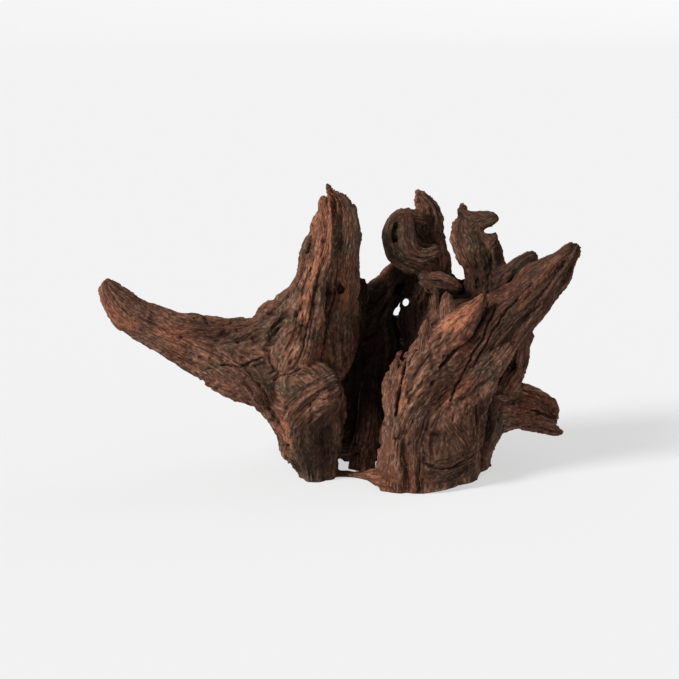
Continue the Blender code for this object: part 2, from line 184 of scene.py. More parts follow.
CURL_STEM = [
    (54, 0, 18, 15, 13),
    (55, 25, 22, 14, 12),
    (59, 40, 24, 14, 11),
    (62, 52, 26, 12, 9),
    (61.5, 63, 28, 9.8, 7),
    (60, 72, 29, 9.8, 6),
    (60.2, 82, 28, 10, 6),
    (58.6, 88, 26, 7.8, 6),
    (55.5, 94, 24, 5.6, 5),
    (54.2, 97.5, 23, 4.3, 4),
    (54, 99.8, 22, 3, 3),
]
CURL_BACK = [
    (52, 44, 28, 9, 7),
    (47, 60, 31, 10, 6),
    (47, 74, 31, 9, 5),
    (51, 84, 28, 5, 5),
]
CURL_LOOP = [
    (62, 47, 20, 7, 8),
    (50, 50.5, 14, 8, 8),
    (39.5, 57.5, 11, 7.5, 8),
    (33.8, 68, 10, 5.5, 8),
    (35.3, 77, 11, 5, 8),
    (42, 82.8, 15, 4.8, 7),
    (49, 82.5, 19, 4.5, 6),
    (57, 81, 23, 4, 5),
]
CURL_STRAP = [
    (43, 83, 22, 5, 4),
    (44.5, 75, 20, 6, 4),
    (46.5, 67, 18, 7, 4),
    (52, 60, 16, 7, 5),
    (60, 59, 15, 5.5, 5),
    (67.5, 61, 16, 4.2, 4),
]
CURL_LEAF = [
    (66.4, 68, 26, 4, 4),
    (69, 57, 27, 5, 4),
    (71.5, 47, 27, 6, 5),
    (77, 37.5, 26, 6.5, 5),
    (86, 34, 24, 7.5, 6),
]
CURL_TAIL = [
    (53, 40, 12, 5, 6),
    (62, 41, 8, 7, 6),
    (72, 38, 5, 7, 6),
    (79, 35, 4, 5, 5),
    (83, 33.5, 4, 2.5, 3),
]
TAIL_SPIKE = [
    (60, 41, 8, 6, 6),
    (62.5, 32, 5, 5.5, 5),
    (64, 25, 4, 4, 4),
    (65, 16, 5, 2, 2.5),
]
FLUTED_LIMB = [
    (102, -5, 10, 22, 14),
    (99, 24, 15, 18, 12),
    (97, 40, 19, 15.5, 10),
    (95.5, 50, 21, 14, 9),
    (92.3, 60, 22, 15.2, 9),
    (89, 68, 23, 14.2, 9),
    (85, 75.5, 24, 13.6, 8),
    (83, 81, 24, 6, 6),
    (81.5, 86.5, 24, 3.4, 4),
    (80.8, 89.5, 24, 2.5, 3),
]
FLUTED_BEAK = [
    (85, 78.5, 24, 7.4, 6),
    (92, 80.2, 22, 6.6, 6),
    (98, 80.8, 20, 6, 5),
    (103, 81.8, 18, 4.6, 4),
    (106.3, 82.4, 17, 2.4, 2),
]
FLUTED_SPUR = [
    (94, 59, 22, 7, 6),
    (100.5, 63.5, 20, 5, 5),
    (104, 67, 19, 3.6, 4),
    (105.8, 70, 18, 1.6, 2),
]
BACK_SPUR = [
    (104, 20, 16, 14, 9),
    (111, 39, 14, 10, 8),
    (117, 46.5, 12, 8, 6),
    (123.5, 52.5, 10, 6.2, 5),
    (128.5, 55, 10, 5.2, 5),
    (132, 54, 10, 3.5, 4),
]
LEANING_SLAB = [
    (58, -112, -31, 36, 26),
    (60, -87, -31, 34.5, 26),
    (62, -67, -30, 33, 25),
    (66, -47, -28, 32, 22),
    (73, -27, -26, 32, 19),
    (83, -10, -25, 29, 16),
    (95.5, 3, -24, 25, 14),
    (110, 15, -23, 19.3, 12),
    (123.5, 25, -22, 16.4, 11),
    (135.8, 39.5, -21, 14, 10),
    (145.5, 48.6, -20, 10.8, 8),
    (152, 55.5, -19, 7, 6.5),
    (156, 61.5, -19, 4.8, 5),
    (157.5, 65, -19, 3, 3),
]
FRONT_LAYER = [
    (44, -70, -44, 14, 12),
    (46, -45, -45, 16, 11),
    (52, -26, -44, 15, 10),
    (63, -10, -42, 14, 9),
    (74, 3, -40, 12.5, 8),
    (82, 13, -38, 10, 6),
    (91, 22.5, -37, 6, 5),
    (97.5, 32, -36, 2.5, 3),
]
LAYER_CREST = [
    (51, -27, -43, 7, 8),
    (55.5, -12, -43, 6.5, 7),
    (57, -1, -42, 6, 6),
    (58.5, 8, -41, 4.6, 5),
    (59, 14.5, -40, 2, 3),
]
OUTER_STRIP = [
    (41.5, -6, -38, 3, 4),
    (38, -15, -40, 5, 6),
    (35.5, -27, -41, 5.5, 7),
    (34.5, -40, -42, 5.5, 8),
    (35, -53, -43, 6.5, 9),
    (36.5, -67, -44, 8, 10),
    (37, -82, -45, 10, 12),
    (38, -104, -46, 12, 14),
]
RAISED_SPIKE = [
    (76, -2, -30, 9, 6),
    (73.5, 12, -29, 8, 6),
    (72.5, 22, -28, 6, 5),
    (72.5, 32, -27, 2.5, 3),
]
TOE_SPUR = [
    (16, -89, -38, 2, 2.5),
    (21.5, -90, -42, 3.8, 5),
    (29, -91.5, -47, 7, 9),
    (42, -94, -50, 10, 11),
]
BULGED_KNOT = [
    (72, -60, -40, 12, 14),
    (79, -70, -40, 13, 14),
    (80, -82, -31, 12, 10),
]
SIDE_STUB = [
    (90, -44, 10, 20, 14),
    (110, -44, 16, 18, 13),
    (121, -44.5, 18, 15.8, 12),
    (133, -47.5, 19, 13, 11),
    (140, -50.5, 19, 10.8, 10),
    (144.5, -53.5, 19, 8.5, 8),
]
STUB_LIP = [
    (118, -55, 15, 6, 7),
    (134, -58, 14, 5, 6),
    (148.5, -62, 14, 3, 4),
]
STRUT = [
    (126, 12, -6, 5, 6),
    (121, -3, 2, 6, 7),
    (117.5, -18, 9, 7.5, 8),
    (111, -32, 14, 9, 10),
]
RIGHT_ROOT = [
    (93, -40, 12, 15.5, 14),
    (96, -57, 6, 13.5, 15),
    (93, -70, 0, 12, 16),
    (88, -83, -6, 14.3, 17),
    (83, -104, -10, 16.5, 18),
]
CORE = [
    (-16, -66, 8, 18, 17),
    (16, -50, 34, 22, 13),
    (52, -56, 16, 25, 24),
    (80, -58, 4, 24, 24),
]
CROWN = [
    (56, -40, 16, 22, 24),
    (63, -12, 12, 20, 22),
    (76, 8, 10, 21, 16),
    (98, 14, 10, 18, 12),
]
CROWN_TOP = [
    (52, 22, 26, 12, 10),
    (68, 27, 20, 11, 9),
    (84, 28, 20, 12, 10),
    (102, 26, 17, 12, 10),
]
# Roots on the far side run away from the eye, so their half widths are measured up the picture.
REAR_ROOT = [
    (34, -50, 28, 22, 20),
    (28, -62, 50, 17, 17),
    (22, -76, 66, 13, 13),
    (16, -84, 78, 9, 10),
]
REAR_RIGHT_ROOT = [
    (72, -50, 26, 22, 20),
    (84, -60, 46, 16, 15),
    (92, -72, 60, 12, 12),
    (98, -78, 70, 8, 9),
]
REAR_SNAG = [
    (52, -24, 26, 18, 16),
    (50, -6, 44, 13, 12),
    (45, 4, 56, 9, 9),
    (40, 12, 63, 5, 6),
    (37, 16, 67, 2, 3),
]
REAR_BOSS = [
    (-30, -25, 6, 24, 18),
    (-34, -30, 18, 18, 14),
    (-40, -34, 27, 10, 8),
]
FOOT_WEB = [
    (-66, -31.4, -16, 7, 12),
    (-56, -37, -16, 8, 14),
    (-44.5, -47, -16, 8, 15),
    (-36.5, -58, -16, 8, 15),
    (-29, -71, -16, 7, 15),
]
FLUTED_LOBE = [
    (80, 80, 23, 3, 5),
    (78.6, 75, 23, 4.2, 6),
    (81.2, 67, 22, 6, 7),
    (86, 58, 21, 7, 8),
    (90.5, 48, 20, 8, 8),
    (93, 36, 18, 8, 8),
]
FLUTED_PLATE = [
    (81.5, 85, 23, 3.4, 4),
    (86, 82.6, 22, 4.6, 5),
    (93, 81, 21, 5.2, 5),
    (98, 80.5, 20, 4.5, 4),
]
STRAP_BAND = [
    (42.5, 84, 14, 5, 5),
    (43.5, 77, 9, 6.6, 5),
    (44, 68, 6, 7.2, 5),
    (47, 59.5, 5, 6.6, 5),
    (55, 55.5, 6, 5.2, 5),
    (62, 57.5, 8, 4.2, 4),
    (67, 61, 10, 3, 3),
]
LIMBS = [
    LONG_ARM, ARM_SHOULDER, TALL_SNAG, SNAG_RIDGE, SNAG_RIM, LEFT_FOOT, KNEE, BACK_WALL, INNER_ROOT,
    FOOT_BAR, SNAG_SHOULDER, WALL_BRIDGE, CURL_STEM, CURL_BACK, CURL_LOOP, CURL_STRAP, CURL_LEAF,
    CURL_TAIL, TAIL_SPIKE, FLUTED_LIMB, FLUTED_BEAK, FLUTED_SPUR, BACK_SPUR, LEANING_SLAB, FRONT_LAYER,
    LAYER_CREST, OUTER_STRIP, RAISED_SPIKE, TOE_SPUR, BULGED_KNOT, SIDE_STUB, STUB_LIP, STRUT,
    RIGHT_ROOT, CORE, CROWN, CROWN_TOP, REAR_ROOT, REAR_RIGHT_ROOT, REAR_SNAG, REAR_BOSS,
    FOOT_WEB, FLUTED_LOBE, FLUTED_PLATE, STRAP_BAND,
]

# Where the grain doesn't follow a limb: runs that it flows along, laid out as the limbs are.
GRAIN_RUNS = [
    [(-125, 9, -8, 13, 30), (-98, -4, -8, 15, 32), (-76, -15, -8, 15, 34), (-57, -29, -8, 15, 34),
     (-43, -47, -10, 14, 34), (-34, -64, -12, 12, 34), (-27, -82, -14, 11, 32), (-24, -100, -16, 10, 30)],
    [(-104, 4, -10, 9, 28), (-78, 5, -10, 11, 30), (-56, 12, -10, 13, 32), (-39, 25, -10, 13, 32),
     (-28, 42, -10, 12, 30), (-21, 62, -10, 9, 26)],
    [(-34, -80, -14, 9, 32), (-33, -64, -14, 11, 34), (-28, -49, -16, 12, 34), (-17, -38, -20, 12, 34),
     (-4, -30, -22, 10, 32)],
    [(144, 46, -20, 9, 24), (120, 20, -22, 14, 28), (99, -3, -24, 16, 30), (81, -20, -26, 16, 32),
     (65, -33, -28, 15, 34), (53, -46, -30, 14, 34), (46, -62, -30, 13, 34), (44, -84, -30, 13, 34),
     (44, -104, -30, 13, 34)],
    [(90, -46, -20, 9, 28), (91.5, -60, -20, 10, 30), (86, -74, -22, 10, 32), (74, -82, -24, 10, 32),
     (60, -85, -26, 9, 30)],
]

# Holes cut along the sight lines: across, rise, depths from and to, half sizes and tilt in the picture.
THROUGH_HOLES = [
    (38.2, 19.5, -8, 70, 1.7, 3.4, -32),
    (44.2, 25.2, -8, 70, 2.1, 2.6, -20),
    (2.3, -82.8, -60, 90, 2.0, 4.8, 38),
    (101.2, 73.4, -60, 90, 5.0, 2.2, 10),
]
# Pits, given the same way: a knot hole, a slot, a cleft and a rot hole.
PITS = [
    (0.8, 34, -60, -18.5, 2.5, 3.0, 20),
    (119, 45, -60, -24, 10, 1.9, 38),
    (137, -49.5, -60, 14, 11, 1.3, -17),
    (115.5, -17, -60, 10, 2.2, 3.0, 20),
]
HOLE_SIDES = 14

# The skin: how far apart the rings of a limb stand, the fewest that it has, how many corners a ring has,
# the grid on which the limbs melt together, and how often and how much the skin is relaxed. Lengths in mm.
RING_GAP = 1.8
LEAST_RINGS = 6
RING_SIDES = 44
VOXEL = 0.8
RELAX_STEPS = 18
RELAX_SHARE = 0.5

# Rounded flutes along a limb: how many go round it, and how far they stand out as a share of its half
# width. They wind round it by at most this many radians for each metre of its length.
LOBES = ((3, 0.06), (5, 0.05), (9, 0.045))
MOST_TWIST = 9

# A limb is drawn in over this share of its half width at each end, and this share of its cross-section
# is gone at the very end.
END_REACH = 0.9
END_LOSS = 0.8

# The base is drawn up a little from the floor towards its right front corner: a point on the line where
# that starts, in mm, and how far it rises for each mm to the right and for each mm away from the eye.
BASE_RISE_FROM = (60, -50)
BASE_RISE = (0.15, -0.05)

# Points nearer than this are one point, in mm.
SAME_POINT = 0.001

# Where the big stump is parted into pieces of a handy size, across in mm, and a place well past its sides.
STUMP_EDGES = (0, 36, 66)
STUMP_REACH = 200

# A limb's grain reaches this many of its half widths from its middle line, and this much further, in mm.
# No limb counts as thinner than the least half width, in mm.
GRAIN_REACH = 1.7
GRAIN_MARGIN = 3
LEAST_HALF = 2

# A grain run counts as this share of its distance away, so that it wins over the limb that it lies on.
# Neighbouring grains blend softly: over what difference in distance, and how many times that at most.
GUIDE_PULL = 0.75
GRAIN_BLEND = 0.12
BLEND_REACH = 4

# Limbs of this half width and more, in mm, are carved to the full depth, and thinner ones to at least this
# share of it.
FULL_DEPTH_HALF = 11
LEAST_DEPTH = 0.5

# Each limb has random seeds of its own, and its streaks start this much further on, in metres.
SEED_STEP = 10
STREAK_STEP = 0.31

# Points are matched to a limb in blocks of this many.
BLOCK = 20000

# Random patterns come from a table of values that large primes spread over a grid. Each further layer is
# this much finer, this far moved on and this much weaker.
NOISE_VALUES = 4096
NOISE_PRIMES = (73856093, 19349663, 83492791)
LAYER_FINER = 2.03
LAYER_MOVE = 5.2
LAYER_WEAKER = 0.5

# The patterns in the wood: seed, width round the limb and length along it in mm, and layers. From lump on
# they run over the whole piece, as wide as long, and take no notice of the limbs.
PATTERNS = {
    "swing": (900, 13, 30, 3),
    "sway": (950, 5, 11, 2),
    "strength": (500, 12, 36, 2),
    "flute": (0, 7, 60, 2),
    "plate": (600, 6, 34, 3),
    "grain": (100, 2.1, 20, 2),
    "fine": (200, 1.5, 9, 2),
    "split": (300, 6.5, 44, 1),
    "open": (400, 13, 24, 2),
    "tone": (700, 3.6, 15, 2),
    "lump": (7000, 16, 16, 3),
    "pit": (7100, 6, 6, 3),
    "nick": (7200, 12, 12, 3),
    "grit": (7250, 2.2, 2.2, 2),
    "grey": (7300, 26, 26, 3),
    "red": (7400, 21, 21, 3),
    "stray": (7800, 7, 7, 3),
    "warp": (7900, 9, 9, 2),
}
# Patterns whose marks are lines: they lie where the pattern changes sign.
LINES = ("flute", "grain", "split")
# The values of a pattern between which its mark comes in: none at the first, whole at the second.
COMES_IN = {
    "strength": (-0.35, 0.3),
    "flute": (0.34, 0),
    "grain": (0.26, 0),
    "fine": (0.15, -0.45),
    "split": (0.09, 0.015),
    "open": (0.02, 0.3),
    "tone": (0.05, 0.45),
    "pit": (0.36, 0.6),
    "nick": (0.26, 0.5),
    "grit": (0.1, -0.5),
    "grey": (-0.02, 0.38),
    "red": (0.05, 0.45),
}
# How deep each kind of mark is cut, in mm, and how much darker it makes the wood, as painted shade in the
# cut.
MARKS = {
    "flute": (1.3, 0.28),
    "grain": (0.85, 0.42),
    "split": (1.8, 0.85),
    "pit": (1.5, 0.5),
    "nick": (1.9, 0.25),
}
# Plates that split off: the values of their pattern at their edges, and how high each step is, in mm.
PLATE_EDGES = ((-0.03, 0.04), (0.22, 0.27), (-0.3, -0.25))
PLATE_STEP = 0.9
# How far the grain swings round a limb, in long and in short waves, and how far pits stray from round, all
# in mm.
SWING = 2.8
SWAY = 0.9
WARP = 3
# How high fine fibres, lumps and grit stand out, in mm.
FINE_RELIEF = 0.45
LUMP_RELIEF = 1.9
GRIT_RELIEF = 0.3
# How much darker the hollows between fibres, the darker tones and the grit are, and how much paler the rest
# is. The darkening of the hollows and the grit is painted shade; the tones are the wood's own.
FINE_DARK = 0.3
TONE_DARK = 0.2
GRIT_DARK = 0.2
PALER = 0.12
# A limb's wear is lifted by this much, in mm, before it is scaled to the limb, and the whole skin is
# lowered by as much afterwards. Thick limbs so keep their size, and thin ones end a little thinner.
LIFT = 0.65
# Ridges look rubbed pale, with a painted highlight on them, between these heights, in mm.
RIDGE_HIGHLIGHT_HEIGHTS = (0.1, 1.9)

# How squarely a point has to face the eye to count a little, or wholly, as on the front. It is hidden if
# something lies on its sight line more than this far before it, in mm.
FRONT_FACING = (0.0, 0.3)
HIDDEN_GAP = 1.5

# The carving comes in between these heights above the floor, and over this far round the holes that go
# through, in mm.
BASE_FADE = (0.5, 3)
HOLE_FADE = 4

# Cracks and splits on the front: half width, depth, then the points that it runs through, all in mm.
CRACKS = [
    (0.9, 1.6, [(-78.7, -16.7), (-65.3, -18), (-51.3, -12)]),
    (0.8, 1.5, [(-43.3, -26), (-26, -19.3)]),
    (1.5, 4.5, [(98, 26.7), (96, 14.7), (92, 6.7), (86.7, -1.3), (76.7, -9.3), (67.3, -18)]),
    (1.3, 4.0, [(44.5, -7), (42.5, -14), (41, -26), (39, -38), (37.5, -50)]),
    (0.9, 2.5, [(52, -6), (49, -10), (45.5, -16)]),
    (0.9, 1.8, [(-20, 76), (-20, 66.7), (-22, 58)]),
    (1.0, 2.4, [(104, 22), (96, 2), (84, -18), (74, -40)]),
    (0.9, 2.0, [(128, 38), (112, 20), (100, 2), (90, -18)]),
    (0.9, 1.8, [(58, -83), (66, -86), (76, -84), (86, -79)]),
    (2.2, 5.0, [(37.5, 77), (36.2, 71), (37.5, 66)]),
]

# A crack's flat bottom is this share of its width, and it is painted this dark, as shade in the crack. It
# strays this far to and fro, in mm.
CRACK_BOTTOM = 0.2
CRACK_DARK = 1.3
STRAY = 1.5

# Worn edges and breaks show warmer wood: half width, how strong, then the points that they run through.
WARM_EDGES = [
    (5.0, 0.6, [(-6.3, 103), (-9, 93), (-10.5, 84), (-10.5, 62), (-15.5, 51), (-21, 42), (-22, 28),
                (-25, 15)]),
    (4.0, 0.45, [(-14, 60), (-18, 80), (-12, 92)]),
    (2.2, 0.5, [(3.4, 38), (3.8, 32), (2, 22)]),
    (4.0, 0.4, [(-158, 27), (-150, 15), (-138, 10)]),
    (4.5, 0.35, [(-120, 7), (-93, -2)]),
    (3.0, 0.7, [(-38, -58), (-33, -70)]),
    (5.5, 0.9, [(70, 9), (80, 13), (88, 20)]),
    (3.0, 0.9, [(88, 20), (96, 31)]),
    (3.2, 0.35, [(22, -90), (29, -98)]),
    (3.0, 0.4, [(41, -22), (41, -58)]),
    (3.0, 0.35, [(62, 45), (78, 36)]),
    (2.5, 0.4, [(150, 58), (134, 40), (120, 24)]),
]
# The warm colour fades out between these shares of its half width, and strays further than the cracks do.
WARM_FADE = (0.5, 1.2)
WARM_STRAY = 2 * STRAY

# Painted shade: places darkened to stand for the shade in the hollow middle, in recesses and on sides turned
# from the light: left, right, bottom and top in the picture, how soft their edge is, the depth behind which
# they lie, and how dark they are.
PAINTED_SHADE_PLACES = [
    (4, 33, -92, 42, 5, -8, 0.88),
    (-10, 8, -92, 36, 5, -14, 0.7),
    (-30, -2, -90, -50, 6, -90, 0.7),
    (32, 62, 18, 50, 6, 4, 0.9),
    (64, 96, 20, 42, 5, -10, 0.75),
    (93, 106, -66, -38, 4, -90, 0.6),
    (84, 110, 28, 60, 4, -12, 0.74),
    (76, 112, 62, 90, 4, -90, 0.54),
    (113, 132, 42, 58, 4, -12, 0.62),
    (32, 52, 52, 86, 4, -90, 0.57),
    (54, 86, 28, 47, 3, -90, 0.6),
    (-64, -40, -32, -14, 6, -90, 0.4),
    (62, 104, -60, -4, 8, -90, 0.14),
    (48, 70, -20, 8, 6, -90, 0.2),
    (-3, 16, 28, 86, 4, -90, 0.18),
    (-14, 14, -20, 40, 6, -90, 0.32),
    (54, 67, 62, 84, 4, -10, 0.6),
    (40, 96, -100, -56, 9, -90, 0.5),
    (30, 60, -34, 28, 5, -10, 0.88),
    (18, 40, -104, -86, 4, -90, 0.22),
    (88, 170, -5, 75, 10, -90, 0.52),
    (-100, -40, -4, 18, 8, -90, 0.44),
    (-26, 6, -100, -44, 6, -90, 0.36),
]
# They darken over this far before and behind that depth, in mm.
DARK_FADE = 4

# Places on the front that split smooth or were rubbed: left, right, bottom and top in the picture, how soft
# their edge is, and how much of the grain's relief is gone.
CALM_PLACES = [
    (34, 52, 56, 86, 3, 0.75),
    (64, 98, 3, 34, 4, 0.6),
    (-2, 14, 22, 88, 4, 0.5),
    (-27, -3, -92, -52, 5, 0.5),
    (82, 110, 74, 90, 3, 0.5),
    (74, 100, 50, 80, 4, 0.55),
    (40, 96, -100, -60, 8, 0.3),
    (96, 150, -5, 60, 8, 0.3),
    (-160, -110, -10, 50, 8, 0.35),
]

# Greenish grey patches on the front: across, rise, half width and half height in mm. Each fades out from the
# first share of its size to the second.
GREY_PATCHES = [
    (-53, -21, 12, 8),
    (-38, -32, 16, 9),
]
GREY_FADE = (0.4, 1.2)

# Colour patterns in the wood: length along the limb and width round it in mm, and how detailed they are.
# Fibres are drawn a little coarser than real ones, so that they show, and specks are crumbs of wood.
GRAIN_TEXTURES = {
    "streak": (30, 2, 4.0),
    "fibre": (12, 0.7, 3.0),
    "speck": (2.8, 1.1, 2.0),
}
# Blotches run over the whole piece: how wide they are in mm, and how detailed.
BLOTCH_SIZE = 9
BLOTCH_DETAIL = 5.0
# Wet brown wood, and what is laid over it, one upon the other: a colour, the mark of the carving that it
# follows, the pattern that it follows with the values between which it comes in, and how strong it is.
WOOD_BROWN = "#432B1F"
WOOD_LAYERS = [
    ("#875E4B", None, "streak", 0.36, 0.64, 1.0),
    ("#683F2E", None, "blotch", 0.4, 0.65, 0.6),
    ("#76402D", "red", "streak", 0.3, 0.6, 0.8),
    ("#4B4638", "grey", "blotch", 0.35, 0.6, 0.8),
    # Pale worn ridges, with a painted highlight on them.
    ("#9E7259", "pale_ridge_and_highlight", None, 0, 1, 0.5),
    ("#B06C4F", "warm", "speck", 0.3, 0.55, 1.3),
    ("#BC9078", None, "speck", 0.5, 0.72, 0.55),
    ("#1E120B", None, "speck", 0.47, 0.25, 0.5),
    ("#2A1B14", None, "fibre", 0.62, 0.36, 0.45),
    # Painted shade in the grooves, cracks and hollows, with the wood's darker tones.
    ("#1B110B", "groove_shade_and_tone", None, 0, 1, 0.8),
    # Painted shade, near black, over the places that stand in shade.
    ("#0E0805", "painted_shade", None, 0, 1, 1.0),
]
# Bare worn wood scatters light: it is rough, and has a fraction of a varnished surface's gloss. The fibres
# and crumbs stand out by this much, in mm, at this strength.
WOOD_ROUGHNESS = 0.86
WOOD_GLOSS = 0.12
FIBRE_HEIGHT = 0.6
FIBRE_STRENGTH = 0.9

# The light: how strong the sky is, then the side that each soft light comes from, its strength and its
# width in degrees.
SKY_STRENGTH = 0.34
LIGHTS = [
    ("key_light", (-1.2, -0.75, 1.0), 4.4, 18),
    ("fill_light", (1.3, 0.6, 0.7), 0.8, 40),
]
WHITE = "#FFFFFF"

# The floor is a round sheet, in metres: rings on the flat, a bend with its radius, turn in degrees and
# steps, and a short straight wall.
FLOOR_RINGS = (0.0, 1.0, 3.0, 6.0, 10.0)
FLOOR_SIDES = 96
BEND_RADIUS = 3.0
BEND_TURN = 35
BEND_STEPS = 8
WALL_OUT = 2.0
WALL_UP = 1.4
# Points of the floor nearer than this are one point, in metres.
FLOOR_SAME_POINT = 0.00001
# The floor's own grey, and how strongly it glows.
FLOOR_GREY = "#898989"
FLOOR_GLOW = 0.573

# The camera stands this much above the layout's eye, in mm, so that the base shows where it should. The
# picture is 679 pixels wide, each two thirds of a mm at the middle of the piece.
CAMERA_LIFT = 0.45
PICTURE_WIDTH = 679 * 2 / 3
SENSOR_WIDTH = 36
CAMERA_NEAR = 0.05
CAMERA_FAR = 20


def sight_axes():
    """The eye's right, up and look directions."""
    right = Vector((1, 0, 0))
    look = Vector((0, math.cos(EYE_TILT), -math.sin(EYE_TILT)))
    return right, right.cross(look), look


def sight_point(across, rise, depth):
    """The world point at that depth which shows at (across, rise), all in mm."""
    right, up, look = sight_axes()
    target = Vector((0, 0, SIGHT_HEIGHT))
    eye = target - look * EYE_DISTANCE
    seen = target + right * across * MM + up * rise * MM
    reach = (depth * MM - eye.y) / (seen.y - eye.y)
    return eye + (seen - eye) * reach + Vector((SHIFT_ACROSS, SHIFT_DEPTH, 0)) * MM


def eye_place(lift=0.0):
    """Where the eye stands, or a camera that much above it, in mm."""
    middle = Vector((SHIFT_ACROSS * MM, SHIFT_DEPTH * MM, SIGHT_HEIGHT + lift * MM))
    return middle - sight_axes()[2] * EYE_DISTANCE


def in_sight(points):
    """Where points show from the eye: across and rise in mm, one row for each point."""
    right, up, look = (np.array(axis) for axis in sight_axes())
    ray = points - np.array(eye_place())
    ray = ray * (EYE_DISTANCE / (ray @ look))[:, None]
    return np.stack([ray @ right, ray @ up], axis=1) / MM


def smooth_run(stations):
    """A limb's stations in metres with smooth steps between them: how far along each is, and its row."""
    knots = np.array([[*sight_point(a, r, d), w * MM, t * MM] for a, r, d, w, t in stations])
    spans = np.linalg.norm(np.diff(knots[:, :3], axis=0), axis=1)
    at = np.concatenate([[0.0], np.cumsum(spans)])
    slopes = np.gradient(knots, at, axis=0)
    count = max(LEAST_RINGS, round(at[-1] / (RING_GAP * MM)))
    where = np.linspace(0, at[-1], count)
    first = np.clip(np.searchsorted(at, where, side="right") - 1, 0, len(spans) - 1)
    span = spans[first][:, None]
    u = (where - at[first])[:, None] / span
    run = (
        knots[first] * (2 * u**3 - 3 * u**2 + 1)
        + slopes[first] * span * (u**3 - 2 * u**2 + u)
        + knots[first + 1] * (3 * u**2 - 2 * u**3)
        + slopes[first + 1] * span * (u**3 - u**2)
    )
    return where, run


def limb_frame(run):
    """Unit tangent, width and thickness directions along a limb. Width lies in the picture."""
    tangent = np.gradient(run[:, :3], axis=0)
    tangent /= np.linalg.norm(tangent, axis=1)[:, None]
    look = np.array(sight_axes()[2])
    width = np.cross(tangent, look)
    width /= np.linalg.norm(width, axis=1)[:, None]
    return tangent, width, np.cross(width, tangent)


def limb_flutes(seed, turn, along):
    """How far a limb's wall stands out at an angle and a distance along it: long rounded flutes."""
    rng = np.random.default_rng(seed)
    out = 1.0
    for lobes, size in LOBES:
        phase, twist = rng.uniform(0, 2 * math.pi), rng.uniform(-MOST_TWIST, MOST_TWIST)
        out = out + size * np.cos(lobes * turn + phase + twist * along)
    return out


def face_outwards(shape):
    """Turn the faces of a closed shape outwards."""
    shape.normal_update()
    bmesh.ops.recalc_face_normals(shape, faces=shape.faces)
    if shape.calc_volume(signed=True) < 0:
        bmesh.ops.reverse_faces(shape, faces=shape.faces)


def round_ends(along, run):
    """Draw a thick limb in over the last stretch at both ends, so that no end is a flat disc."""
    for gone in (along, along[-1] - along):
        end = run[np.argmin(gone), 3:5].min()
        share = np.clip(gone / (END_REACH * end), 0, 1)
        run[:, 3:5] *= np.sqrt(1 - END_LOSS * (1 - share) ** 2)[:, None]


def places(mesh):
    """The mesh's vertex positions, one row each."""
    flat = np.empty(len(mesh.vertices) * 3)
    mesh.vertices.foreach_get("co", flat)
    return flat.reshape(-1, 3)


def vertex_normals(mesh):
    """The mesh's vertex normals, one row each."""
    flat = np.empty(len(mesh.vertices) * 3)
    mesh.vertex_normals.foreach_get("vector", flat)
    return flat.reshape(-1, 3)


def move_to(mesh, points):
    """Put the mesh's vertices there."""
    mesh.vertices.foreach_set("co", np.ascontiguousarray(points).ravel())


def add_limb(bm, stations, seed):
    """A closed fluted tube through a limb's stations, made from a grid that is wrapped round."""
    along, run = smooth_run(stations)
    round_ends(along, run)
    _, width, thick = limb_frame(run)
    tube = bmesh.new()
    last = len(run) - 1
    bmesh.ops.create_grid(tube, x_segments=last, y_segments=RING_SIDES, size=1)
    piece = bpy.data.meshes.new("limb")
    tube.to_mesh(piece)
    flat = places(piece)
    row = np.rint((flat[:, 0] + 1) / 2 * last).astype(int)
    turn = math.pi * (flat[:, 1] + 1)
    out = limb_flutes(seed, turn, along[row])
    side = (np.cos(turn) * run[row, 3] * out)[:, None]
    front = (np.sin(turn) * run[row, 4] * out)[:, None]
    move_to(piece, run[row, :3] + width[row] * side + thick[row] * front)
    tube.clear()
    tube.from_mesh(piece)
    bmesh.ops.remove_doubles(tube, verts=tube.verts, dist=SAME_POINT * MM)
    bmesh.ops.holes_fill(tube, edges=[e for e in tube.edges if e.is_boundary])
    face_outwards(tube)
    tube.to_mesh(piece)
    tube.free()
    bm.from_mesh(piece)
    bpy.data.meshes.remove(piece)


def turned_axes(turn):
    """The picture's right and up directions turned by some degrees."""
    right, up, _ = sight_axes()
    cos, sin = math.cos(math.radians(turn)), math.sin(math.radians(turn))
    return right * cos + up * sin, up * cos - right * sin


def add_hole(bm, hole):
    """A round or oval cutter along the sight line of a hole."""
    across, rise, near, far, wide, tall, tilt = hole
    start, end = sight_point(across, rise, near), sight_point(across, rise, far)
    side, upward = turned_axes(tilt)
    axis = (end - start).normalized()
    made = bmesh.ops.create_cone(
        bm, cap_ends=True, segments=HOLE_SIDES, radius1=1, radius2=1, depth=(end - start).length
    )
    for vert in made["verts"]:
        x, y, z = vert.co
        vert.co = (start + end) / 2 + side * x * wide * MM + upward * y * tall * MM + axis * z


def baked_mesh(thing):
    """The object's mesh with its modifiers worked in."""
    graph = bpy.context.evaluated_depsgraph_get()
    return bpy.data.meshes.new_from_object(thing.evaluated_get(graph), depsgraph=graph)


def biggest_part(mesh):
    """Keep only the biggest of the mesh's separate parts."""
    bm = bmesh.new()
    bm.from_mesh(mesh)
    left = set(bm.verts)
    best = set()
    while len(left) > len(best):
        front = [left.pop()]
        part = set(front)
        while front:
            for edge in front.pop().link_edges:
                for vert in edge.verts:
                    if vert in left:
                        left.remove(vert)
                        part.add(vert)
                        front.append(vert)
        if len(part) > len(best):
            best = part
    bmesh.ops.delete(bm, geom=[v for v in bm.verts if v not in best], context="VERTS")
    bm.to_mesh(mesh)
    bm.free()
    return mesh


def linked(name, data):
    """An object of that data in the scene."""
    thing = bpy.data.objects.new(name, data)
    bpy.context.scene.collection.objects.link(thing)
    return thing


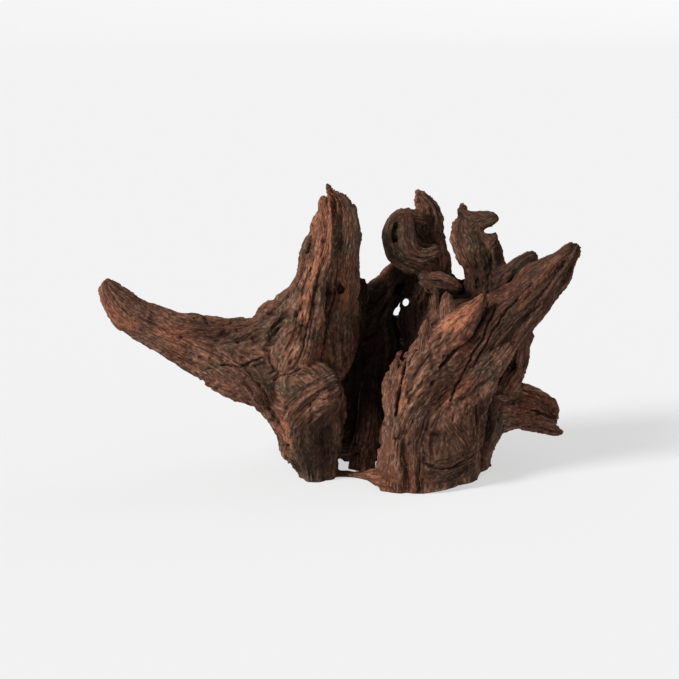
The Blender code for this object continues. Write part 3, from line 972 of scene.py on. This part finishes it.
def fused_skin():
    """All limbs melted into one skin, relaxed where they meet, with the holes cut."""
    bm = bmesh.new()
    for seed, stations in enumerate(LIMBS):
        add_limb(bm, stations, seed)
    mesh = bpy.data.meshes.new("limbs")
    bm.to_mesh(mesh)
    bm.free()
    wood = linked("limbs", mesh)
    fuse = wood.modifiers.new("Fuse", "REMESH")
    fuse.mode = "VOXEL"
    fuse.voxel_size = VOXEL * MM
    relax = wood.modifiers.new("Relax", "SMOOTH")
    relax.factor = RELAX_SHARE
    relax.iterations = RELAX_STEPS
    skin = biggest_part(baked_mesh(wood))
    wood.modifiers.clear()
    wood.data = skin

    bm = bmesh.new()
    for hole in THROUGH_HOLES + PITS:
        add_hole(bm, hole)
    face_outwards(bm)
    drill = bpy.data.meshes.new("drill")
    bm.to_mesh(drill)
    bm.free()
    cutter = linked("drill", drill)
    cut = wood.modifiers.new("Holes", "BOOLEAN")
    cut.operation = "DIFFERENCE"
    cut.solver = "EXACT"
    cut.object = cutter
    skin = baked_mesh(wood)
    bpy.data.objects.remove(cutter)
    bpy.data.objects.remove(wood)
    return skin


def lattice_noise(points, seed):
    """Smooth random values from -1 to 1 at points, one new value for each step of 1."""
    table = np.random.default_rng(seed).uniform(-1, 1, NOISE_VALUES)
    cell = np.floor(points).astype(np.int64)
    part = points - cell
    part = part * part * (3 - 2 * part)
    total = np.zeros(len(points))
    for corner in itertools.product((0, 1), repeat=3):
        step = np.array(corner)
        weight = np.prod(np.where(step == 1, part, 1 - part), axis=1)
        x, y, z = ((cell + step) * np.array(NOISE_PRIMES)).T
        total += weight * table[(x ^ y ^ z) % NOISE_VALUES]
    return total


def layered_noise(points, seed, layers):
    """Noise with finer and weaker layers on it."""
    total, size, whole = 0.0, 1.0, 0.0
    for layer in range(layers):
        moved = points * LAYER_FINER**layer + LAYER_MOVE * layer
        total = total + size * lattice_noise(moved, seed + layer)
        whole += size
        size *= LAYER_WEAKER
    return total / whole


def ramp(values, none, whole):
    """0 up to the value none and 1 from the value whole on, with a smooth change. Either may be higher."""
    share = np.clip((values - none) / (whole - none), 0, 1)
    return share * share * (3 - 2 * share)


def pattern(name, points, seed=0):
    """A pattern's values from -1 to 1 at points, which are in a limb's own coordinates or in the frame."""
    own_seed, across, along, layers = PATTERNS[name]
    cells = points / np.array((along, across, across)) / MM
    return layered_noise(cells, seed + own_seed, layers)


def mark(name, points, seed=0):
    """How far the mark of a pattern has come in at points, from 0 to 1."""
    values = pattern(name, points, seed)
    if name in LINES:
        values = np.abs(values)
    return ramp(values, *COMES_IN[name])


def carved(height, dark, marks):
    """Height and darkness once marks are cut, each as deep as its kind is, with as much painted shade in it
    as its kind takes.
    """
    for name, share in marks.items():
        depth, darkness = MARKS[name]
        height = height - depth * share
        dark = dark + darkness * share
    return height, dark


def in_box(seen, left, right, low, high, edge):
    """How far inside a soft-edged box of the picture points show, from 0 to 1."""
    across = ramp(seen[:, 0], left - edge, left + edge) * (1 - ramp(seen[:, 0], right - edge, right + edge))
    upward = ramp(seen[:, 1], low - edge, low + edge) * (1 - ramp(seen[:, 1], high - edge, high + edge))
    return across * upward


def route_distance(seen, route):
    """How far points lie from a route in the picture, in mm."""
    best = np.full(len(seen), np.inf)
    for (x0, y0), (x1, y1) in zip(route, route[1:]):
        start, step = np.array((x0, y0)), np.array((x1 - x0, y1 - y0))
        share = np.clip(((seen - start) @ step) / (step @ step), 0, 1)
        best = np.minimum(best, np.linalg.norm(seen - start - share[:, None] * step, axis=1))
    return best


def limb_places(points):
    """For every limb and grain run: which points are near it, where they are along it and round it, how far
    out they are in its half widths, and its usual half width."""
    out = []
    for number, stations in enumerate(LIMBS + GRAIN_RUNS):
        along, run = smooth_run(stations)
        tangent, width, thick = limb_frame(run)
        reach = GRAIN_REACH * run[:, 3:5].max() + GRAIN_MARGIN * MM
        low, high = run[:, :3].min(axis=0) - reach, run[:, :3].max(axis=0) + reach
        which = np.flatnonzero(((points > low) & (points < high)).all(axis=1))
        here = points[which]
        nearest = np.empty(len(which), dtype=int)
        for block in np.array_split(np.arange(len(which)), max(1, len(which) // BLOCK)):
            gaps = (run[:, :3] ** 2).sum(axis=1) - 2 * here[block] @ run[:, :3].T
            nearest[block] = gaps.argmin(axis=1)
        away = here - run[nearest, :3]
        extra = (away * tangent[nearest]).sum(axis=1)
        across = (away * width[nearest]).sum(axis=1)
        front = (away * thick[nearest]).sum(axis=1)
        half = np.maximum(run[nearest, 3:5], LEAST_HALF * MM)
        past_end = np.where((nearest == 0) | (nearest == len(run) - 1), extra / half.min(axis=1), 0)
        rho = np.sqrt((across / half[:, 0]) ** 2 + (front / half[:, 1]) ** 2 + past_end**2)
        if number >= len(LIMBS):
            rho *= GUIDE_PULL
        girth = np.median(run[:, 3:5].min(axis=1)) + LEAST_HALF * MM
        turn = np.arctan2(front / half[:, 1], across / half[:, 0])
        coords = np.stack([along[nearest] + extra, np.cos(turn) * girth, np.sin(turn) * girth], axis=1)
        out.append((which, coords, rho, girth))
    return out


def wear(coords, seed):
    """Height of the weathered surface in mm, and how dark it is, the wood's tone with painted shade in its
    hollows, in one limb's own coordinates.
    """
    swing = SWING * pattern("swing", coords, seed) + SWAY * pattern("sway", coords, seed)
    bent = coords + np.outer(swing, (0, 1, 1)) * MM
    plate = pattern("plate", bent, seed)
    steps = sum(ramp(plate, low, high) for low, high in PLATE_EDGES)
    fine = pattern("fine", bent, seed)
    height = PLATE_STEP * (steps - len(PLATE_EDGES) / 2) + FINE_RELIEF * fine + LIFT
    dark = FINE_DARK * ramp(fine, *COMES_IN["fine"]) + TONE_DARK * mark("tone", bent, seed) - PALER
    marks = {
        "flute": mark("strength", coords, seed) * mark("flute", bent, seed),
        "grain": mark("grain", bent, seed),
        "split": mark("split", bent, seed) * mark("open", coords, seed),
    }
    return carved(height, dark, marks)


def limb_owners(points, limbs):
    """For every point, the limb that it belongs to, how far out it is, and where it is on that limb."""
    owner = np.zeros(len(points), dtype=int)
    best = np.full(len(points), np.inf)
    own = np.zeros((len(points), 3))
    for number, (which, coords, rho, _) in enumerate(limbs):
        nearer = rho < best[which]
        best[which[nearer]] = rho[nearer]
        owner[which[nearer]] = number
        own[which[nearer]] = coords[nearer]
    return owner, best, own


def blended_wear(points, limbs, best):
    """The wear of all limbs at every point, blended where they meet: height in mm and darkness, which holds
    painted shade in the hollows.
    """
    share = np.zeros(len(points))
    height = np.zeros(len(points))
    dark = np.zeros(len(points))
    for number, (which, coords, rho, girth) in enumerate(limbs):
        counts = rho < best[which] + BLEND_REACH * GRAIN_BLEND
        which = which[counts]
        weight = np.exp((best[which] - rho[counts]) / GRAIN_BLEND)
        up, deep = wear(coords[counts], SEED_STEP * number)
        share[which] += weight
        height[which] += weight * up * np.clip(girth / (FULL_DEPTH_HALF * MM), LEAST_DEPTH, 1)
        dark[which] += weight * deep
    share = np.maximum(share, 1)
    return height / share, dark / share


def spot_wear(points):
    """Lumps, pits, nicks and grit, which take no notice of the limbs: height in mm and darkness, which is
    painted shade in the pits, nicks and grit.
    """
    warped = points + np.stack([pattern("warp", points, i) for i in range(3)], axis=1) * WARP * MM
    grit = pattern("grit", points)
    height = LUMP_RELIEF * pattern("lump", points) + GRIT_RELIEF * grit - LIFT
    dark = GRIT_DARK * ramp(grit, *COMES_IN["grit"])
    return carved(height, dark, {name: mark(name, warped) for name in ("pit", "nick")})


def facing(mesh, points):
    """How squarely every point faces the eye, and the same with 0 where something hides the point."""
    squarely = ramp(-(vertex_normals(mesh) @ np.array(sight_axes()[2])), *FRONT_FACING)
    faces = [tuple(face.vertices) for face in mesh.polygons]
    tree = BVHTree.FromPolygons(points.tolist(), faces, epsilon=0.0)
    eye = eye_place()
    front = np.zeros(len(points))
    for i in np.flatnonzero(squarely > 0):
        ray = Vector(points[i]) - eye
        hit = tree.ray_cast(eye, ray.normalized(), ray.length - HIDDEN_GAP * MM)
        front[i] = squarely[i] if hit[0] is None else 0.0
    return squarely, front


def painted_shade_marks(points, seen, squarely):
    """How much painted shade every point takes, from 0 to 1."""
    painted_shade = np.zeros(len(points))
    for *box, depth, most in PAINTED_SHADE_PLACES:
        behind = ramp(points[:, 1] / MM, depth - DARK_FADE, depth + DARK_FADE)
        painted_shade = np.maximum(painted_shade, most * in_box(seen, *box) * behind * squarely)
    return painted_shade


def warm_marks(strayed, front):
    """How warm the wood shows at worn edges and breaks, from 0 to 1."""
    warm = np.zeros(len(strayed))
    for half, strong, route in WARM_EDGES:
        gap = route_distance(strayed, route) / half
        warm = np.maximum(warm, strong * (1 - ramp(gap, *WARM_FADE)) * front)
    return warm


def grey_marks(points, seen, front):
    """How greenish grey the wood is, from 0 to 1."""
    grey = mark("grey", points)
    for across, rise, wide, tall in GREY_PATCHES:
        out = np.hypot((seen[:, 0] - across) / wide, (seen[:, 1] - rise) / tall)
        grey = np.maximum(grey, (1 - ramp(out, *GREY_FADE)) * front)
    return grey


def carving_share(points, seen):
    """How much of the carving a point takes: none at the cut base and at the rim of a hole, then all."""
    share = ramp(points[:, 2] / MM, *BASE_FADE)
    for across, rise, _, _, wide, tall, _ in THROUGH_HOLES:
        rim = max(wide, tall)
        share *= ramp(np.hypot(seen[:, 0] - across, seen[:, 1] - rise), rim, rim + HOLE_FADE)
    return share


def keep(mesh, name, values, kind="FLOAT", where="POINT"):
    """Store values on the mesh, one for each of its points or of its faces' corners."""
    layer = mesh.attributes.new(name, kind, where)
    field = "vector" if kind == "FLOAT_VECTOR" else "value"
    layer.data.foreach_set(field, np.ascontiguousarray(values, dtype=np.float32).ravel())


def whole_numbers(items, field):
    """One whole number of each item, such as where a face's corners start."""
    out = np.empty(len(items), dtype=np.int32)
    items.foreach_get(field, out)
    return out


def keep_grain(mesh, limbs, owner, own):
    """Store where every face corner is on the limb that its face belongs to, so that streaks follow it."""
    corner = whole_numbers(mesh.loops, "vertex_index")
    starts = whole_numbers(mesh.polygons, "loop_start")
    lengths = whole_numbers(mesh.polygons, "loop_total")
    face_owner = np.repeat(owner[corner[starts]], lengths)
    grain = own[corner]
    for number, (which, coords, _, _) in enumerate(limbs):
        row = np.full(len(owner), -1)
        row[which] = np.arange(len(which))
        mine = np.flatnonzero(face_owner == number)
        at = row[corner[mine]]
        grain[mine[at >= 0]] = coords[at[at >= 0]] + STREAK_STEP * number
    keep(mesh, "grain", grain, "FLOAT_VECTOR", "CORNER")


def weathered(mesh):
    """Carve the skin with grain, flutes, cracks, pits and breaks, and note the colour that each spot has,
    with painted shade in its hollows and shaded places and a painted highlight on its ridges.
    """
    points = places(mesh)
    normals = vertex_normals(mesh)
    seen = in_sight(points)
    squarely, front = facing(mesh, points)
    limbs = limb_places(points)
    owner, best, own = limb_owners(points, limbs)
    height, dark = blended_wear(points, limbs, best)
    spot_height, spot_dark = spot_wear(points)
    height += spot_height
    dark += spot_dark
    for *box, most in CALM_PLACES:
        calm = 1 - most * in_box(seen, *box) * front
        height *= calm
        dark *= calm
    astray = np.stack([pattern("stray", points, i) for i in range(2)], axis=1)
    for half, deep, route in CRACKS:
        gap = route_distance(seen + astray * STRAY, route)
        cut = (1 - ramp(gap, CRACK_BOTTOM * half, half)) * front
        height -= deep * cut
        # The crack's darkness is painted shade in it.
        dark += CRACK_DARK * cut
    move_to(mesh, points + normals * (height * carving_share(points, seen) * MM)[:, None])
    # Darkness of the grooves, cracks and hollows, painted shade, with the wood's darker tones.
    keep(mesh, "groove_shade_and_tone", np.clip(dark, 0, 1))
    # Painted shade in the hollow middle, in recesses and on sides turned from the light.
    keep(mesh, "painted_shade", painted_shade_marks(points, seen, squarely))
    keep(mesh, "warm", warm_marks(seen + astray * WARM_STRAY, front))
    keep(mesh, "grey", grey_marks(points, seen, front))
    keep(mesh, "red", mark("red", points))
    # Pale worn ridges, with a painted highlight on them.
    keep(mesh, "pale_ridge_and_highlight", ramp(height, *RIDGE_HIGHLIGHT_HEIGHTS))
    keep_grain(mesh, limbs, owner, own)


def flat_base(mesh):
    """Cut the mesh off flat where it rests, and close the cut."""
    bm = bmesh.new()
    bm.from_mesh(mesh)
    whole = bm.verts[:] + bm.edges[:] + bm.faces[:]
    bmesh.ops.bisect_plane(bm, geom=whole, plane_co=(0, 0, 0), plane_no=(0, 0, -1), clear_outer=True)
    bmesh.ops.holes_fill(bm, edges=[e for e in bm.edges if e.is_boundary])
    whole = bm.verts[:] + bm.edges[:] + bm.faces[:]
    start = Vector((*BASE_RISE_FROM, 0)) * MM
    slope = Vector((BASE_RISE[0], BASE_RISE[1], -1))
    bmesh.ops.bisect_plane(bm, geom=whole, plane_co=start, plane_no=slope, clear_outer=True)
    bmesh.ops.holes_fill(bm, edges=[e for e in bm.edges if e.is_boundary])
    bmesh.ops.triangulate(bm, faces=[face for face in bm.faces if len(face.verts) > 4])
    bm.to_mesh(mesh)
    bm.free()


def close_piece(mesh):
    """Close a piece where it was parted from its neighbours."""
    bm = bmesh.new()
    bm.from_mesh(mesh)
    caps = bmesh.ops.holes_fill(bm, edges=[e for e in bm.edges if e.is_boundary])["faces"]
    bmesh.ops.triangulate(bm, faces=caps)
    bm.to_mesh(mesh)
    bm.free()


def stump_slice(whole, left, right):
    """The stretch of the closed stump between two upright planes, closed again where it was parted."""
    bm = bmesh.new()
    bm.from_mesh(whole)
    for edge, side in ((left, -1), (right, 1)):
        geom = bm.verts[:] + bm.edges[:] + bm.faces[:]
        bmesh.ops.bisect_plane(
            bm, geom=geom, plane_co=(edge * MM, 0, 0), plane_no=(side, 0, 0), clear_outer=True
        )
        rim = [
            e for e in bm.edges
            if e.is_boundary and all(abs(vert.co.x - edge * MM) < SAME_POINT * MM for vert in e.verts)
        ]
        if rim:
            bmesh.ops.triangle_fill(bm, edges=rim, use_beauty=True, normal=(side, 0, 0))
    face_outwards(bm)
    mesh = bpy.data.meshes.new("slice")
    bm.to_mesh(mesh)
    bm.free()
    return mesh


def nearest_nodes(mesh):
    """For every face, the CAD node whose skin is nearest."""
    corners, faces, names = [], [], []
    for name, thing in frame["nodes"].items():
        base = len(corners)
        corners += [thing.matrix_world @ vert.co for vert in thing.data.vertices]
        for face in thing.data.polygons:
            faces.append([base + i for i in face.vertices])
            names.append(name)
    tree = BVHTree.FromPolygons(corners, faces)
    return [names[tree.find_nearest(face.center)[2]] for face in mesh.polygons]


def node(tree, kind, inputs=None, **settings):
    """A shader node with its settings, its numbers and its links."""
    made = tree.nodes.new(kind)
    for name, value in settings.items():
        setattr(made, name, value)
    for socket, value in (inputs or {}).items():
        if isinstance(value, bpy.types.NodeSocket):
            tree.links.new(value, made.inputs[socket])
        else:
            made.inputs[socket].default_value = value
    return made


def colour(code):
    """An sRGB hex colour as linear values."""
    parts = [int(code[i:i + 2], 16) / 255 for i in (1, 3, 5)]
    return (*[p / 12.92 if p <= 0.04045 else ((p + 0.055) / 1.055) ** 2.4 for p in parts], 1)


def driftwood_material():
    """Weathered driftwood: matte, soaked and sun-dried root wood, worn by water into grooves. The soft wood
    is gone; the grooves, cracks and shaded places are painted dark as shade, the hard ridges between them
    paler, partly as a painted highlight, and nothing shines."""
    material = bpy.data.materials.new("weathered_driftwood")
    material.use_nodes = True
    tree = material.node_tree
    shader = tree.nodes["Principled BSDF"]
    grain = node(tree, "ShaderNodeAttribute", attribute_name="grain").outputs["Vector"]
    place = node(tree, "ShaderNodeTexCoord").outputs["Object"]
    blotches = {"Vector": place, "Scale": 1 / (BLOTCH_SIZE * MM), "Detail": BLOTCH_DETAIL}
    textures = {"blotch": node(tree, "ShaderNodeTexNoise", blotches).outputs["Fac"]}
    for name, (along, across, detail) in GRAIN_TEXTURES.items():
        cells = (1 / (along * MM), 1 / (across * MM), 1 / (across * MM))
        spread = node(tree, "ShaderNodeVectorMath", {0: grain, 1: cells}, operation="MULTIPLY").outputs[0]
        noise = node(tree, "ShaderNodeTexNoise", {"Vector": spread, "Scale": 1.0, "Detail": detail})
        textures[name] = noise.outputs["Fac"]

    base = colour(WOOD_BROWN)
    for code, carving, texture, none, whole, strength in WOOD_LAYERS:
        amount = strength
        if texture:
            limits = {0: textures[texture], 1: none, 2: whole, 3: 0.0, 4: strength}
            amount = node(tree, "ShaderNodeMapRange", limits).outputs[0]
        if carving:
            marked = node(tree, "ShaderNodeAttribute", attribute_name=carving).outputs["Fac"]
            amount = node(tree, "ShaderNodeMath", {0: marked, 1: amount}, operation="MULTIPLY").outputs[0]
        laid_over = {0: amount, 6: base, 7: colour(code)}
        base = node(tree, "ShaderNodeMix", laid_over, data_type="RGBA").outputs[2]
    tree.links.new(base, shader.inputs["Base Color"])
    shader.inputs["Roughness"].default_value = WOOD_ROUGHNESS
    shader.inputs["Specular IOR Level"].default_value = WOOD_GLOSS
    rough = node(tree, "ShaderNodeMath", {0: textures["fibre"], 1: textures["speck"]}, operation="ADD")
    relief = {"Height": rough.outputs[0], "Strength": FIBRE_STRENGTH, "Distance": FIBRE_HEIGHT * MM}
    tree.links.new(node(tree, "ShaderNodeBump", relief).outputs[0], shader.inputs["Normal"])
    return material


def parted(mesh, group):
    """The skin shared out to the CAD nodes nearest to it, with the stump sliced: closed meshes by name."""
    names = nearest_nodes(mesh)
    order = sorted(set(names))
    for name in order:
        mesh.materials.append(bpy.data.materials.new(name))
    slots = {name: i for i, name in enumerate(order)}
    mesh.polygons.foreach_set("material_index", [slots[name] for name in names])
    whole = bpy.data.objects.new("skin", mesh)
    group.objects.link(whole)
    bpy.context.view_layer.objects.active = whole
    whole.select_set(True)
    bpy.ops.object.mode_set(mode="EDIT")
    bpy.ops.mesh.separate(type="MATERIAL")
    bpy.ops.object.mode_set(mode="OBJECT")
    shares = {}
    for thing in list(group.objects):
        name, share = thing.data.materials[0].name, thing.data
        bpy.data.objects.remove(thing)
        close_piece(share)
        if name != "root_stump":
            shares[name] = share
            continue
        edges = (-STUMP_REACH, *STUMP_EDGES, STUMP_REACH)
        for number, (left, right) in enumerate(zip(edges, edges[1:]), 1):
            shares[f"{name}_{number}"] = stump_slice(share, left, right)
        bpy.data.meshes.remove(share)
    for name in order:
        bpy.data.materials.remove(bpy.data.materials[name])
    return shares


def dressed_pieces():
    """The weathered skin, shared out to its pieces, with one shading across the joins."""
    mesh = fused_skin()
    weathered(mesh)
    flat_base(mesh)
    keep(mesh, "skin_normal", vertex_normals(mesh), "FLOAT_VECTOR")
    group = bpy.data.collections.new("aquarium_driftwood")
    bpy.context.scene.collection.children.link(group)
    material = driftwood_material()
    for name, piece in parted(mesh, group).items():
        thing = bpy.data.objects.new(name, piece)
        group.objects.link(thing)
        piece.polygons.foreach_set("use_smooth", [True] * len(piece.polygons))
        piece.polygons.foreach_set("material_index", [0] * len(piece.polygons))
        own = np.empty(len(piece.vertices) * 3, dtype=np.float32)
        piece.attributes["skin_normal"].data.foreach_get("vector", own)
        piece.normals_split_custom_set_from_vertices(own.reshape(-1, 3).tolist())
        piece.attributes.remove(piece.attributes["skin_normal"])
        piece.materials.clear()
        piece.materials.append(material)
        piece.name = thing.name = f"{name}_wood"
        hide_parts(name if name in frame["nodes"] else "root_stump")
        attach(thing, "root")


def paper_material():
    """Matte white paper: rough and without any gloss. It is drawn darker than real paper and glows instead,
    which shows the same white with fainter shadows on it."""
    paper = bpy.data.materials.new("matte_white_paper")
    paper.use_nodes = True
    shader = paper.node_tree.nodes["Principled BSDF"]
    shader.inputs["Base Color"].default_value = colour(FLOOR_GREY)
    shader.inputs["Roughness"].default_value = 1.0
    shader.inputs["Specular IOR Level"].default_value = 0.0
    shader.inputs["Emission Color"].default_value = colour(WHITE)
    shader.inputs["Emission Strength"].default_value = FLOOR_GLOW
    return paper


def studio():
    """A pale floor that bends up into a low wall all round, with soft light from the upper left."""
    bm = bmesh.new()
    profile = [bm.verts.new((x, 0, 0)) for x in FLOOR_RINGS]
    for i in range(1, BEND_STEPS + 1):
        turn = math.radians(BEND_TURN * i / BEND_STEPS)
        out = FLOOR_RINGS[-1] + BEND_RADIUS * math.sin(turn)
        up = BEND_RADIUS * (1 - math.cos(turn))
        profile.append(bm.verts.new((out, 0, up)))
    profile.append(bm.verts.new((out + WALL_OUT, 0, up + WALL_UP)))
    edges = [bm.edges.new(pair) for pair in zip(profile, profile[1:])]
    bmesh.ops.spin(
        bm, geom=profile + edges, cent=(0, 0, 0), axis=(0, 0, 1), angle=2 * math.pi, steps=FLOOR_SIDES,
        use_merge=True,
    )
    bmesh.ops.remove_doubles(bm, verts=bm.verts, dist=FLOOR_SAME_POINT)
    bmesh.ops.recalc_face_normals(bm, faces=bm.faces)
    for face in bm.faces:
        face.smooth = True
    mesh = bpy.data.meshes.new("studio_floor")
    bm.to_mesh(mesh)
    bm.free()
    mesh.materials.append(paper_material())
    floor = linked("studio_floor", mesh)

    bpy.context.scene.view_settings.view_transform = "Standard"
    world = bpy.data.worlds.new("soft_sky")
    world.use_nodes = True
    back = world.node_tree.nodes["Background"]
    back.inputs["Color"].default_value = colour(WHITE)
    back.inputs["Strength"].default_value = SKY_STRENGTH
    bpy.context.scene.world = world
    for name, side, strength, width in LIGHTS:
        sun = bpy.data.lights.new(name, "SUN")
        sun.energy = strength
        sun.angle = math.radians(width)
        linked(name, sun).rotation_euler = (-Vector(side)).to_track_quat("-Z", "Y").to_euler()


def photo_camera():
    """A camera where the layout's eye is, that looks the same way."""
    lens = bpy.data.cameras.new("photo_camera")
    lens.sensor_width = SENSOR_WIDTH
    lens.lens = SENSOR_WIDTH * EYE_DISTANCE / (PICTURE_WIDTH * MM)
    lens.clip_start, lens.clip_end = CAMERA_NEAR, CAMERA_FAR
    eye = linked("photo_camera", lens)
    eye.location = eye_place(CAMERA_LIFT)
    eye.rotation_euler = sight_axes()[2].to_track_quat("-Z", "Y").to_euler()
    bpy.context.scene.camera = eye


dressed_pieces()
studio()
photo_camera()
